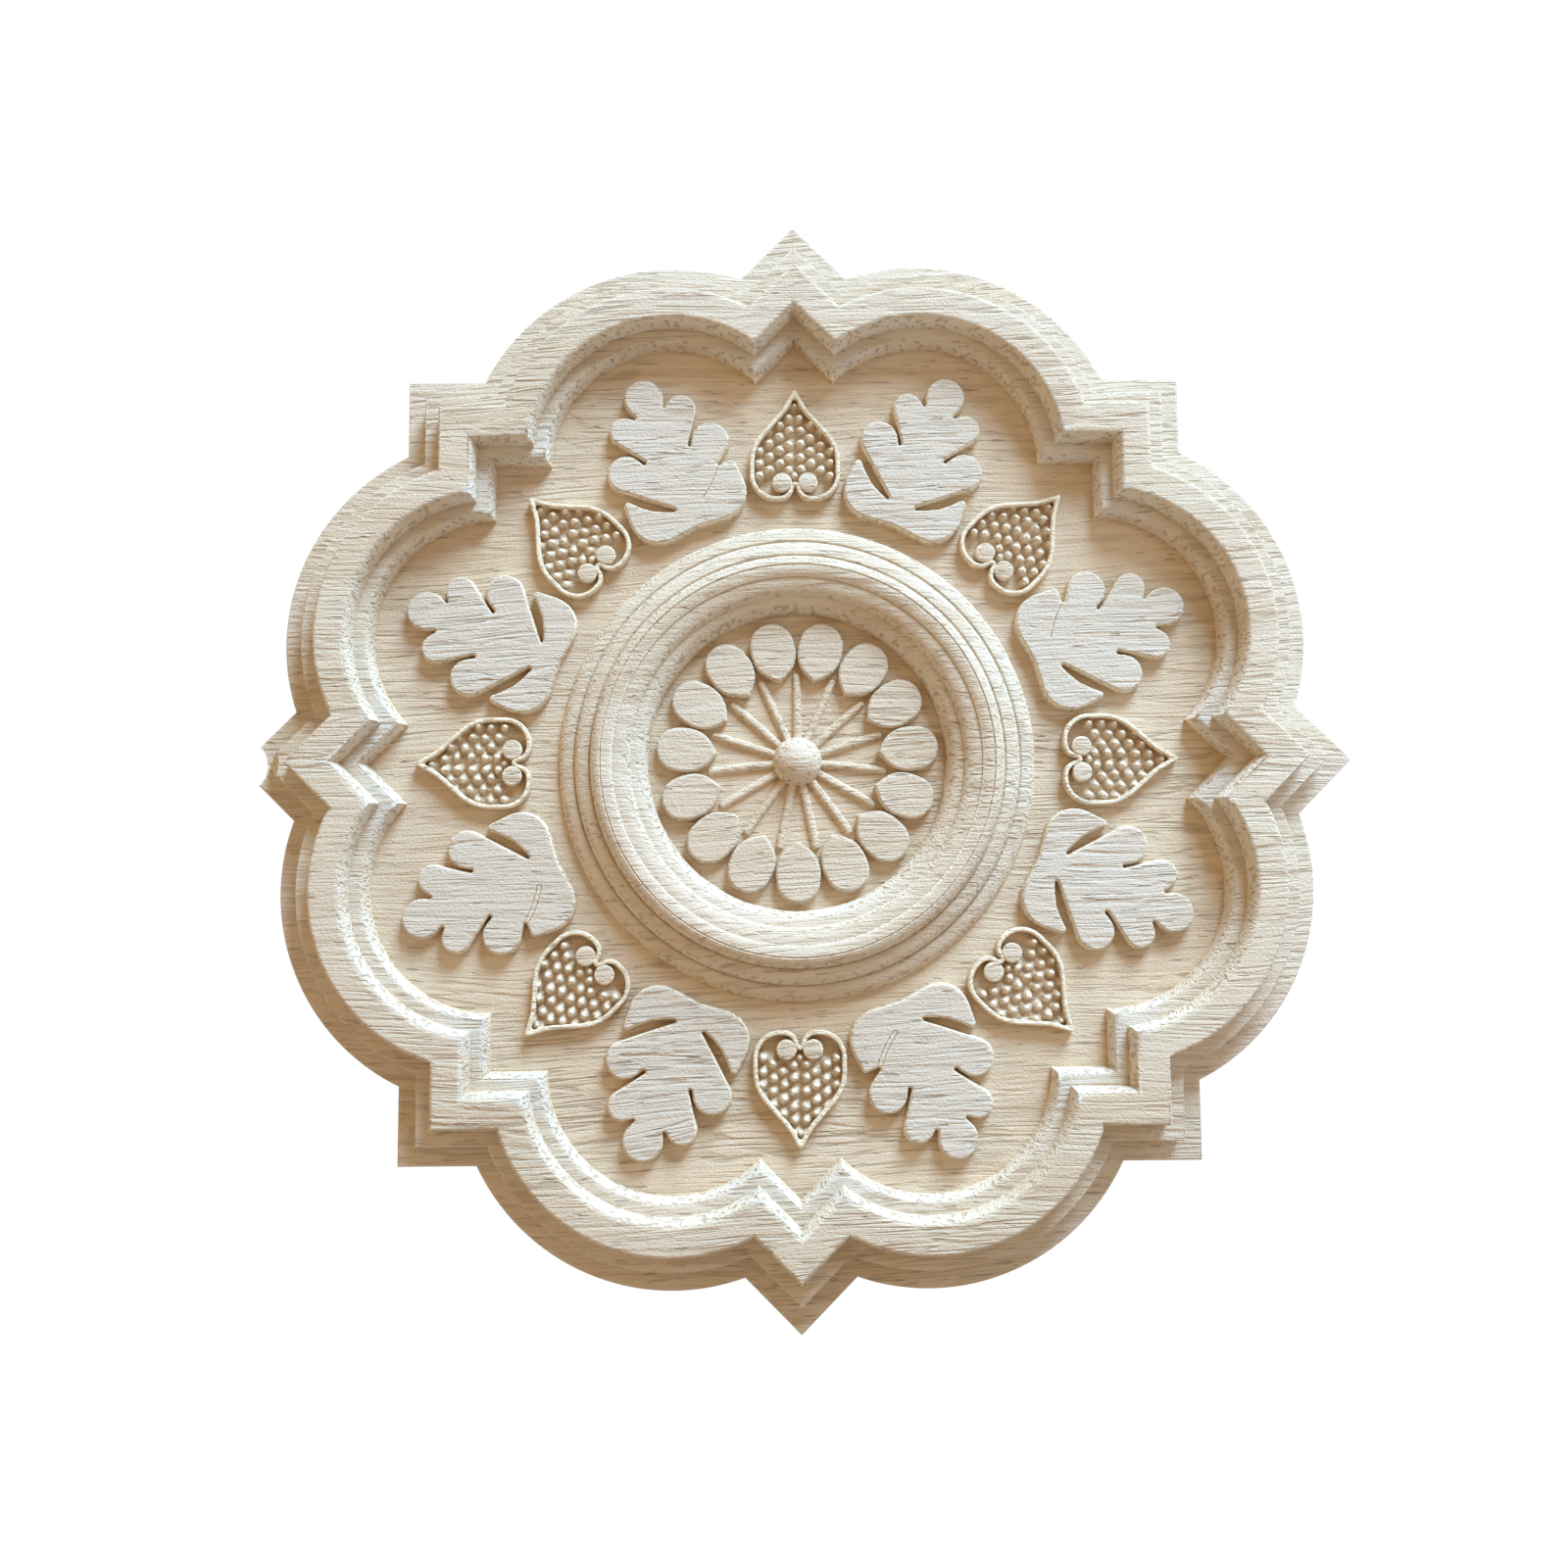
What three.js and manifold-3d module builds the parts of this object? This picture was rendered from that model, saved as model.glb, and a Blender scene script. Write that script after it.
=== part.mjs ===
import * as THREE from "three";
import { mergeVertices } from "three/addons/utils/BufferGeometryUtils.js";
import Module from "manifold-3d";

// An eight-lobed rosette carved from one board of pale wood, fixed flat on a wall, a ceiling or a door.
// All lengths are millimetres. The carving is drawn lying on its back, with z as height above the back
// face, and is stood up at the end so that it faces -Y with its back face in the plane y = 0.

const wasm = await Module();
wasm.setup();

// Outline of the bottom step: eight round lobes with a pointed tab between each two
const cuspCount = 8;
const tipRadius = 150;
const lobeCentreRadius = 87.5;
const lobeRadius = 57.6;
const lobeSegments = 8;

// The tab on the left has lost its point: the break stands upright in the bottom step, then slopes back
const brokenTabRadius = 7.2;
const brokenTabSlopeRadius = 12.4;
const brokenTabSegments = 12;

// Steps up the outside, from the back face to the flat front of the rim
const bottomStepHeight = 7.5;
const bottomStepTread = 6.1;
const middleStepHeight = 6.4;
const middleStepTread = 4.9;
const rimHeight = 6.1;
const rimEdgeRound = 1.3;
const rimFlatWidth = 5.9;

// Moulding down the inside of the rim: a round, a narrow ledge and a second round down to the ground
const upperRoundWidth = 2.4;
const upperRoundDrop = 4.6;
const ledgeWidth = 2.3;
const ledgeDrop = 0.4;
const lowerRoundWidth = 2.1;
const lowerRoundDrop = 5;
const roundSegments = 2;

// Ring moulding round the centre: radii of its grooves and heights above the ground
const ringOuterRadius = 63.7;
const ringFootBeadWidth = 4.6;
const ringFootBeadHeight = 3.1;
const ringOuterBeadWidth = 4.4;
const ringOuterBeadHeight = 5.8;
const ringCrestOuterWidth = 3.1;
const ringCrestHeight = 8.6;
const ringCrestInnerWidth = 3;
const ringShoulderHeight = 7.6;
const ringInnerBeadWidth = 4.5;
const ringInnerBeadHeight = 5.2;
const ringLipWidth = 4.4;
const ringBeadSegments = 2;
const ringSegments = 40;

// Wheel inside the ring: a dome, ribs, and petals that point inwards
const petalCount = 15;
const petalClearance = 2;
const petalLength = 16.1;
const petalHeight = 2.5;
const ribRadius = 1.15;
const ribReach = 24.2;
const ribSides = 6;
const domeRadius = 6.6;
const domeHeight = 5;
const domeSegments = 20;

// Oak leaves, one under each lobe
const leafGap = 4.5;
const leafLength = 44.6;
const leafHeight = 3;

// Hearts, one behind each tab: a thin rim round a sunk field, whose ends curl into two discs at the cleft
const heartGap = 7.2;
const heartLength = 30.7;
const heartHeight = 2.7;
const heartRimWidth = 1.25;
const heartTipDraw = 2;
const heartFieldHeight = 0.7;
const heartDiscRadius = 2.65;
const heartDiscHeight = 2.8;
const heartDiscSides = 9;

// How deep the forms on the ground run into it
const rooting = 1.5;

// How far the straight stretches of a carved outline may stand off its true arcs
const chordTolerance = 0.24;

// Levels that follow from the steps
const middleLevel = bottomStepHeight + middleStepHeight;
const frontLevel = middleLevel + rimHeight;
const ledgeLevel = frontLevel - upperRoundDrop - ledgeDrop;
const groundLevel = ledgeLevel - lowerRoundDrop;

const tau = Math.PI * 2;
const quarterTurn = Math.PI / 2;
const sector = tau / cuspCount;

// Solid from a closed geometry, with its shared corners merged
function solid(geometry) {
  const bare = geometry.clone();
  bare.deleteAttribute("normal");
  bare.deleteAttribute("uv");
  const merged = mergeVertices(bare, 1e-4);
  return new wasm.Manifold(new wasm.Mesh({
    numProp: 3,
    vertProperties: new Float32Array(merged.attributes.position.array),
    triVerts: new Uint32Array(merged.index.array),
  }));
}

// Outline of the rosette, a distance in from the outline of the bottom step. Every inset has the same
// number of points: a tab's tip and then the arc of the next lobe, from root to root.
function rosetteOutline(inset) {
  const tip = tipRadius - inset * Math.SQRT2;
  const radius = lobeRadius - inset;
  const lobeAlong = lobeCentreRadius * Math.cos(sector / 2);
  const lobeAcross = lobeCentreRadius * Math.sin(sector / 2);
  const middle = (tip - lobeAlong + lobeAcross) / 2;
  const offset = (tip - lobeAlong - lobeAcross) / 2;
  const rootAcross = middle - Math.sqrt(radius ** 2 / 2 - offset ** 2);
  const start = Math.atan2(rootAcross - lobeAcross, tip - rootAcross - lobeAlong);
  const sweep = sector - 2 * start;
  const points = [];
  for (let cusp = 0; cusp < cuspCount; cusp += 1) {
    const turn = cusp * sector;
    points.push(new THREE.Vector2(tip, 0).rotateAround(new THREE.Vector2(), turn));
    for (let i = 0; i <= lobeSegments; i += 1) {
      const angle = start + (sweep * i) / lobeSegments;
      const point = new THREE.Vector2(
        lobeAlong + radius * Math.cos(angle),
        lobeAcross + radius * Math.sin(angle),
      );
      points.push(point.rotateAround(new THREE.Vector2(), turn));
    }
  }
  return points;
}

// Quarter round that leaves the upper level flat and ends upright, as rows of inset and level
function quarterRound(inset, level, width, drop, segments) {
  const rows = [];
  for (let i = 0; i <= segments; i += 1) {
    const angle = (quarterTurn * i) / segments;
    rows.push([inset + width * Math.sin(angle), level - drop * (1 - Math.cos(angle))]);
  }
  return rows;
}

// Section through the rim, as rows of inset and level, from the back face to the ground
function rimSection() {
  const middleInset = bottomStepTread;
  const rimInset = middleInset + middleStepTread;
  const flatInset = rimInset + rimEdgeRound;
  const mouldingInset = flatInset + rimFlatWidth;
  const ledgeInset = mouldingInset + upperRoundWidth;
  const lowerInset = ledgeInset + ledgeWidth;
  const edge = quarterRound(-flatInset, frontLevel, rimEdgeRound, rimEdgeRound, 2)
    .map(([inset, level]) => [-inset, level])
    .reverse();
  return [
    [0, 0],
    [0, bottomStepHeight],
    [middleInset, bottomStepHeight],
    [middleInset, middleLevel],
    [rimInset, middleLevel],
    ...edge,
    ...quarterRound(mouldingInset, frontLevel, upperRoundWidth, upperRoundDrop, roundSegments),
    ...quarterRound(lowerInset, ledgeLevel, lowerRoundWidth, lowerRoundDrop, roundSegments),
  ];
}

// Closed body through a stack of outlines, closed by a fan at each end
function stackedBody(layers) {
  const count = layers[0].points.length;
  const positions = layers.flatMap(({ points, level }) => points.flatMap((p) => [p.x, p.y, level]));
  const bottomCentre = positions.length / 3;
  positions.push(0, 0, layers[0].level);
  const topCentre = bottomCentre + 1;
  positions.push(0, 0, layers.at(-1).level);
  const topRow = (layers.length - 1) * count;
  const triangles = [];
  for (let i = 0; i < count; i += 1) {
    const next = (i + 1) % count;
    triangles.push(bottomCentre, next, i);
    triangles.push(topCentre, topRow + i, topRow + next);
    for (let row = 0; row < topRow; row += count) {
      triangles.push(row + i, row + next, row + count + i);
      triangles.push(row + next, row + count + next, row + count + i);
    }
  }
  const geometry = new THREE.BufferGeometry();
  geometry.setAttribute("position", new THREE.Float32BufferAttribute(positions, 3));
  geometry.setIndex(triangles);
  return geometry;
}

function rosetteBody() {
  const layers = rimSection().map(([inset, level]) => ({ points: rosetteOutline(inset), level }));
  const bite = new THREE.LatheGeometry([
    new THREE.Vector2(0, -rooting),
    new THREE.Vector2(brokenTabRadius, -rooting),
    new THREE.Vector2(brokenTabRadius, bottomStepHeight),
    new THREE.Vector2(brokenTabSlopeRadius, middleLevel),
    new THREE.Vector2(brokenTabSlopeRadius, frontLevel + rooting),
    new THREE.Vector2(0, frontLevel + rooting),
  ], brokenTabSegments);
  bite.rotateX(quarterTurn);
  bite.translate(-tipRadius, 0, 0);
  return solid(stackedBody(layers)).subtract(solid(bite));
}

// Outline that runs round a chain of circles like a belt, counterclockwise. A circle with a minus radius
// is passed on its other side, so the outline turns inwards there.
function beltOutline(circles) {
  const headings = circles.map((circle, i) => {
    const next = circles[(i + 1) % circles.length];
    const length = Math.hypot(next.x - circle.x, next.y - circle.y);
    const lean = Math.asin((next.r - circle.r) / length);
    return Math.atan2(next.y - circle.y, next.x - circle.x) - lean;
  });
  const points = [];
  circles.forEach((circle, i) => {
    const from = headings.at(i - 1);
    let turn = (headings[i] - from) % tau;
    if (circle.r > 0 && turn < 0) turn += tau;
    if (circle.r < 0 && turn > 0) turn -= tau;
    const flatness = Math.min(1, chordTolerance / Math.abs(circle.r));
    const steps = Math.ceil(Math.abs(turn) / (2 * Math.acos(1 - flatness)));
    for (let k = 0; k <= steps; k += 1) {
      const heading = from + (turn * k) / steps;
      points.push(new THREE.Vector2(
        circle.x + circle.r * Math.sin(heading),
        circle.y - circle.r * Math.cos(heading),
      ));
    }
  });
  return points;
}

// Chain of circles down the left side and up the right one: the rows of a side run from the outer end to
// the foot, and a row with nothing across stands on the middle line. Each row is along, across and radius,
// as shares of a length. Without rows of its own the right side mirrors the left one.
function twoSidedCircles(length, foot, leftRows, rightRows = leftRows) {
  const side = (rows, sign) => rows.map(([along, across, radius]) => ({
    x: foot + along * length,
    y: sign * across * length,
    r: radius * length,
  }));
  const offMiddle = rightRows.filter(([, across]) => across !== 0);
  return [...side(leftRows, 1), ...side(offMiddle, -1).reverse()];
}

// Prism on the ground, rooted in it, turned about the centre
function raisedForm(points, height, turn, bottom = groundLevel - rooting) {
  const geometry = new THREE.ExtrudeGeometry(new THREE.Shape(points), {
    depth: groundLevel + height - bottom,
    bevelEnabled: false,
  });
  geometry.translate(0, 0, bottom);
  geometry.rotateZ(turn);
  return solid(geometry);
}

// Upper half of a ball, flattened to a height, with its middle on a level
function lowDome(radius, height, level, x, y, segments) {
  const geometry = new THREE.SphereGeometry(radius, segments, Math.round(segments / 2));
  geometry.rotateX(quarterTurn);
  geometry.scale(1, 1, height / radius);
  geometry.translate(x, y, level);
  return geometry;
}

// Oak leaf seen from the front, foot inwards: end lobe, notch, first side lobe, slit, second side lobe,
// then a lower slit, and the sharp corner and broad round of the lowest lobe, and the shallow dip at the foot
const leafLobes = [
  [0.879, 0, 0.117],
  [0.789, 0.099, -0.01],
  [0.735, 0.188, 0.087],
  [0.507, 0.148, -0.011],
  [0.484, 0.276, 0.112],
];
const longSlit = [
  [0.168, 0.094, -0.011],
  [0.5, 0.027, -0.345],
];
const shortSlit = [
  [0.33, 0.27, -0.011],
];
const leafFoot = [
  [0.298, 0.339, 0.022],
  [0.175, 0.193, 0.177],
  [-0.128, 0, -0.146],
];

// Every other leaf has one lower slit that stops short: on its left side, then on its right side in turn
function leaf(index) {
  const withSlit = (slit) => [...leafLobes, ...slit, ...leafFoot];
  const left = withSlit(index % 4 === 0 ? shortSlit : longSlit);
  const right = withSlit(index % 4 === 2 ? shortSlit : longSlit);
  const circles = twoSidedCircles(leafLength, ringOuterRadius + leafGap, left, right);
  return raisedForm(beltOutline(circles), leafHeight, (index + 0.5) * sector);
}

// Disc at the cleft of a heart: its place along and across, as shares of the heart's length
const heartDiscAlong = 0.163;
const heartDiscAcross = 0.113;

// Heart seen from the front, tip outwards: tip, hollow flank, full flank, round shoulder, curl, cleft
const heartRows = [
  [0.98, 0, 0.02],
  [1.02, 0.375, -0.326],
  [0.345, -0.007, 0.407],
  [0.232, 0.168, 0.232],
  [0.13, 0.14, 0.13],
  [0.117, 0, -0.01],
];

// The field stays inside the rim. Its tip draws back further, because the flanks meet at a point there.
function heartOutline(inset) {
  const circles = twoSidedCircles(heartLength, ringOuterRadius + heartGap, heartRows);
  const [tip, ...others] = circles;
  return beltOutline([
    { ...tip, x: tip.x - inset * heartTipDraw },
    ...others.map((circle) => ({ ...circle, r: circle.r - inset })),
  ]);
}

function heart(turn) {
  const fieldLevel = groundLevel + heartFieldHeight;
  const rim = raisedForm(heartOutline(0), heartHeight, turn);
  const field = raisedForm(heartOutline(heartRimWidth), heartHeight + rooting, turn, fieldLevel);
  const discs = [-1, 1].map((side) => {
    const disc = new THREE.CylinderGeometry(
      heartDiscRadius,
      heartDiscRadius,
      heartDiscHeight + rooting,
      heartDiscSides,
    );
    disc.rotateX(quarterTurn);
    disc.translate(
      ringOuterRadius + heartGap + heartDiscAlong * heartLength,
      side * heartDiscAcross * heartLength,
      groundLevel + (heartDiscHeight - rooting) / 2,
    );
    return solid(disc.rotateZ(turn));
  });
  return rim.subtract(field).add(wasm.Manifold.union(discs));
}

// Petal seen from the front, point inwards
const petalRows = [
  [-0.36, 0, 0.366],
  [-0.491, -0.124, 0.497],
  [-0.969, 0, 0.031],
];

function petal(turn) {
  const outerEnd = ringInnerRadius() - petalClearance;
  const circles = twoSidedCircles(petalLength, outerEnd, petalRows);
  return raisedForm(beltOutline(circles), petalHeight, turn);
}

function ringInnerRadius() {
  return ringOuterRadius - ringFootBeadWidth - ringOuterBeadWidth - ringCrestOuterWidth
    - ringCrestInnerWidth - ringInnerBeadWidth - ringLipWidth;
}

// Section through the ring moulding: beads that step up to the crest and down again, all of them full
function ringMoulding() {
  const beads = [
    { width: ringFootBeadWidth, height: ringFootBeadHeight, rising: true },
    { width: ringOuterBeadWidth, height: ringOuterBeadHeight, rising: true },
    { width: ringCrestOuterWidth, height: ringCrestHeight, rising: true },
    { width: ringCrestInnerWidth, height: ringShoulderHeight, rising: false },
    { width: ringInnerBeadWidth, height: ringInnerBeadHeight, rising: false },
    { width: ringLipWidth, height: 0, rising: false },
  ];
  const section = [new THREE.Vector2(ringOuterRadius, -rooting)];
  let radius = ringOuterRadius;
  let height = 0;
  beads.forEach((bead) => {
    const rise = bead.height - height;
    for (let i = 0; i < ringBeadSegments; i += 1) {
      const angle = (quarterTurn * i) / ringBeadSegments;
      const out = bead.rising ? 1 - Math.cos(angle) : Math.sin(angle);
      const up = bead.rising ? Math.sin(angle) : 1 - Math.cos(angle);
      section.push(new THREE.Vector2(radius - bead.width * out, height + rise * up));
    }
    radius -= bead.width;
    height = bead.height;
  });
  section.push(new THREE.Vector2(radius, 0));
  section.push(new THREE.Vector2(radius, -rooting));
  section.push(section[0].clone());
  const geometry = new THREE.LatheGeometry(section, ringSegments);
  geometry.rotateX(quarterTurn);
  geometry.translate(0, 0, groundLevel);
  return solid(geometry);
}

function rib(turn) {
  const start = domeRadius / 2;
  const length = ribReach - ribRadius - start;
  const geometry = new THREE.CapsuleGeometry(ribRadius, length, 1, ribSides);
  geometry.rotateZ(quarterTurn);
  geometry.translate(start + length / 2, 0, groundLevel);
  geometry.rotateZ(turn);
  return solid(geometry);
}

// Everything that stands on the ground, each form at its own turn about the centre
const forms = [ringMoulding(), solid(lowDome(domeRadius, domeHeight, groundLevel, 0, 0, domeSegments))];
for (let i = 0; i < cuspCount; i += 1) {
  forms.push(heart(i * sector));
  forms.push(leaf(i));
}
for (let i = 0; i < petalCount; i += 1) {
  forms.push(petal((tau * i) / petalCount - quarterTurn));
  forms.push(rib((tau * i) / petalCount + quarterTurn));
}
const carving = wasm.Manifold.union([rosetteBody(), ...forms]).getMesh();

const carvingGeometry = new THREE.BufferGeometry();
carvingGeometry.setAttribute("position", new THREE.BufferAttribute(carving.vertProperties, 3));
carvingGeometry.setIndex(new THREE.BufferAttribute(carving.triVerts, 1));
carvingGeometry.computeVertexNormals();

const paleWood = new THREE.MeshStandardMaterial({ color: 0xe6dac6, roughness: 0.78, metalness: 0 });
const rosette = new THREE.Mesh(carvingGeometry, paleWood);
rosette.name = "carved_rosette";

const group = new THREE.Group();
group.rotation.x = quarterTurn;
group.add(rosette);

export default group;
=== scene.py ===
import math

import bmesh
import bpy
import numpy as np
from mathutils import Euler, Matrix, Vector, noise


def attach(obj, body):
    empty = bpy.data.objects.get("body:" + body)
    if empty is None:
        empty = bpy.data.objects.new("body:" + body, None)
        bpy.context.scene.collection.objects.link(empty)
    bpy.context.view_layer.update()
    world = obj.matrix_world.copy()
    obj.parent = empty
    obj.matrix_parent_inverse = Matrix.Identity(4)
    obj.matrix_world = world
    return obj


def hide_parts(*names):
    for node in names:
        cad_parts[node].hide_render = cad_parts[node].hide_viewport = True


# Looks of a carved rosette in raw pale wood. Lengths are millimetres unless a name says otherwise. The
# carving is worked out in plan, x to the right, y up and z as height above the back face, and every point
# is then put into the frame, where the rosette faces -Y with its back in the plane y = 0.

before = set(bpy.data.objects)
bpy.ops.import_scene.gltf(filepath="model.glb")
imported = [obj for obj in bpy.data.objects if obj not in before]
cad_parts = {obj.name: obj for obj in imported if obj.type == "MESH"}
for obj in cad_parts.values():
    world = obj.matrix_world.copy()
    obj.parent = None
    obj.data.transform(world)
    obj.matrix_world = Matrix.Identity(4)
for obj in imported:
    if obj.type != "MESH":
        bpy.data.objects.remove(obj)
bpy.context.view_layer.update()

MM = 0.001
TAU = 2 * math.pi
QUARTER = math.pi / 2

# Outline: eight round lobes with a pointed tab between each two
CUSPS = 8
SECTOR = TAU / CUSPS
TIP_RADIUS = 150.0
LOBE_CENTRE_RADIUS = 87.5
LOBE_RADIUS = 57.6
LOBE_SEGMENTS = 36

# Steps and mouldings of the rim
BOTTOM_HEIGHT = 7.5
BOTTOM_TREAD = 6.1
MIDDLE_HEIGHT = 6.4
MIDDLE_TREAD = 4.9
RIM_HEIGHT = 6.1
RIM_EDGE_ROUND = 1.3
RIM_FLAT = 5.9
UPPER_ROUND_WIDTH = 2.4
UPPER_ROUND_DROP = 4.6
LEDGE_WIDTH = 2.3
LEDGE_DROP = 0.4
LOWER_ROUND_WIDTH = 2.1
LOWER_ROUND_DROP = 5.0
STEP_EDGE_ROUND = 0.7
EDGE_SEGMENTS = 6
FALL_SEGMENTS = 8
MIDDLE_LEVEL = BOTTOM_HEIGHT + MIDDLE_HEIGHT
FRONT_LEVEL = MIDDLE_LEVEL + RIM_HEIGHT
LEDGE_LEVEL = FRONT_LEVEL - UPPER_ROUND_DROP - LEDGE_DROP
GROUND_LEVEL = LEDGE_LEVEL - LOWER_ROUND_DROP

# The tab on the left has lost its point: the break stands upright in the bottom step, then slopes back
BREAK_RADIUS = 7.2
BREAK_SLOPE_RADIUS = 12.4
BREAK_ROUGHNESS = 0.7
BREAK_GRAIN = Vector((0.5, 1.6, 0.4))
BREAK_LEVELS = (2.0, 5.0)
BREAK_SEGMENTS = 72
BREAK_SLOPE_STEPS = 8
CUT_MARGIN = 2.0

# Ring moulding: width of each bead from the outside in, and the height above the ground that it leads to
RING_OUTER_RADIUS = 63.7
RING_BEADS = [(4.6, 3.1), (4.4, 5.8), (3.1, 8.6), (3.0, 7.6), (4.5, 5.2), (4.4, 0.0)]
RING_INNER_RADIUS = RING_OUTER_RADIUS - sum(width for width, height in RING_BEADS)
RING_SEGMENTS = 200
BEAD_SEGMENTS = 8
GROOVED_BEADS = 4
GROOVE_DEPTH = 0.35
GROOVE_WIDTH = 0.3
GROOVE_LIP = 0.02
RIPPLE_HEIGHT = 0.12
RIPPLE_GRAIN = Vector((0.35, 0.35, 0.5))

# Wheel inside the ring
PETALS = 15
PETAL_CLEARANCE = 2.0
PETAL_LENGTH = 16.1
PETAL_HEIGHT = 2.5
PETAL_EDGE_ROUND = 0.9
PETAL_STEP_DEGREES = 10
PETAL_START = RING_INNER_RADIUS - PETAL_CLEARANCE
RIB_RADIUS = 1.15
RIB_REACH = 24.2
RIB_SIDES = 16
RIB_CAP_SEGMENTS = 5
DOME_RADIUS = 6.6
DOME_HEIGHT = 5.0
DOME_SEGMENTS = 64

# Leaves under the lobes
LEAF_GAP = 4.5
LEAF_LENGTH = 44.6
LEAF_HEIGHT = 3.0
LEAF_EDGE_ROUND = 0.8
LEAF_FLARE = 0.4
LEAF_STEP_DEGREES = 15
LEAF_START = RING_OUTER_RADIUS + LEAF_GAP

# Scratches on four leaves; start, bend and loop width are shares of a leaf's length
SCRATCH_WIDTH = 0.45
SCRATCH_DEPTH = 0.4
SCRATCH_POINTS = 10
SCRATCH_START = 0.06
SCRATCH_BEND = -0.012
SCRATCH_LOOP_HALF_WIDTH = 0.013

# Hearts behind the tabs
HEART_GAP = 7.2
HEART_LENGTH = 30.7
HEART_HEIGHT = 2.7
HEART_RIM_WIDTH = 1.25
HEART_RIM_SEGMENTS = 8
HEART_FIELD_HEIGHT = -0.3
HEART_STEP_DEGREES = 10
HEART_START = RING_OUTER_RADIUS + HEART_GAP
DISC_RADIUS = 2.65
DISC_HEIGHT = 2.8
DISC_CROWN = 0.1
DISC_EDGE_ROUND = 0.6
DISC_SEGMENTS = 32
DISC_ALONG = 0.163
DISC_ACROSS = 0.113

# Pebbles in the hearts: staggered columns along the axis, the same on both sides of it
PEBBLE_COLUMNS = 5
PEBBLE_ROWS = 7
PEBBLE_START = 8.9
PEBBLE_ALONG = 3.6
PEBBLE_FIRST = 1.55
PEBBLE_ACROSS = 2.75
PEBBLE_RADIUS = 1.25
PEBBLE_HEIGHT = 3.0
PEBBLE_AT_TIP = 26.6
PEBBLE_TIP_SIZE = 0.8
PEBBLE_AT_FOOT = 7.1
PEBBLE_FOOT_SIZE = 0.9
PEBBLE_DISC_GAP = 1.2
PEBBLE_STRAY = 0.55
PEBBLE_SEED = 7
PEBBLE_SIZE_STRAY = 0.2
PEBBLE_DRAW = Vector((3.7, 2.9, 5.3))
PEBBLE_STEEPNESS = 1.8
PEBBLE_GRID = 0.3
PEBBLE_SLAB_MARGIN = 1.0
PEBBLE_SLAB_REACH = 0.43

# How deep the raised forms reach into the ground, and the angle from which an edge stays sharp
ROOTING = 1.5
SHARP_DEGREES = 48

# Outlines as chains of circles: along, across and radius, as shares of the form's own length. A point has
# a fourth number: how far it moves along when the outline is drawn in by one, as its own radius stays.
LEAF_LOBES = [
    (0.879, 0, 0.117),
    (0.789, 0.099, -0.01),
    (0.735, 0.188, 0.087),
    (0.507, 0.148, -0.011),
    (0.484, 0.276, 0.112),
]
LONG_SLIT = [
    (0.168, 0.094, -0.011),
    (0.5, 0.027, -0.345),
]
SHORT_SLIT = [
    (0.33, 0.27, -0.011),
]
LEAF_FOOT = [
    (0.298, 0.339, 0.022),
    (0.175, 0.193, 0.177),
    (-0.128, 0, -0.146),
]
HEART_ROWS = [
    (0.98, 0, 0.02, -2.0),
    (1.02, 0.375, -0.326),
    (0.345, -0.007, 0.407),
    (0.232, 0.168, 0.232),
    (0.13, 0.14, 0.13),
    (0.117, 0, -0.01),
]
PETAL_ROWS = [
    (-0.36, 0, 0.366),
    (-0.491, -0.124, 0.497),
    (-0.969, 0, 0.031, 1.2),
]

# Tones of the wood; the ground tone and the dark brown also serve as painted shade, the rubbed and warm
# whites as painted highlights, and the bleached tone partly as painted light
CREAM = (0.74, 0.67, 0.57, 1)
TAN = (0.67, 0.565, 0.44, 1)
PINK = (0.72, 0.61, 0.505, 1)
FRESH_CUT_AND_SHADE = (0.765, 0.635, 0.485, 1)
SHADE_AND_STRIPE_BROWN = (0.57, 0.42, 0.26, 1)
RUBBED_AND_HIGHLIGHT = (0.97, 0.90, 0.78, 1)
CREST_HIGHLIGHT = (0.97, 0.87, 0.68, 1)
BLEACHED_AND_LIT = (0.70, 0.66, 0.61, 1)
BROWN = (0.37, 0.27, 0.175, 1)
OPEN_PORE = (0.37, 0.24, 0.12, 1)

# Zones of the tones, as the pair over which a tone comes in and, where there are two, the pair over which
# it goes out: the sunk ground, which is partly painted shade, the crests of hearts, pebbles and leaf edges,
# which take a painted highlight, and the tops of the leaves, which are partly painted light
GROUND_HEIGHTS = ((8.5, 9.5), (10.4, 12.8))
GROUND_BORDER = (122.0, 127.0)
HEART_ZONE = ((66.5, 68.0), (104.0, 110.0))
CREST_HEIGHTS = ((11.2, 12.2), (12.72, 12.8))
LEAF_ZONE = ((66.5, 68.0), (113.5, 115.5))
LEAF_TOP_HEIGHTS = (12.85, 12.98)

# Grain, marks and the reaches of the painted edge highlight and corner shade: metres, as in the material's
# own space, and an angle in radians
GRAIN_WANDER = 0.014
GRAIN_CLIMB = 0.03
WEAR_AND_HIGHLIGHT_REACH = 0.001
CORNER_SHADE_REACH = 0.0035
MARK_DEPTH = 0.0004

# Growth lines in two layers: cycles a metre, shift, half width of a line in the noise, and weight
GROWTH_LINES = [
    ((15, 160, 330), (0, 0, 0), 0.045, 0.9),
    ((24, 260, 520), (5, 3, 8), 0.06, 0.6),
]

# Where the photo was taken from, in metres: close in front, a little below the middle, tipped up a little
CAMERA_EYE = (-0.00596, -0.37577, -0.03742)
CAMERA_TURN_DEGREES = (94.92, 0.44, -0.333)
CAMERA_LENS = 31.5
CAMERA_SENSOR = 36
CAMERA_NEAR = 0.01

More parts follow.
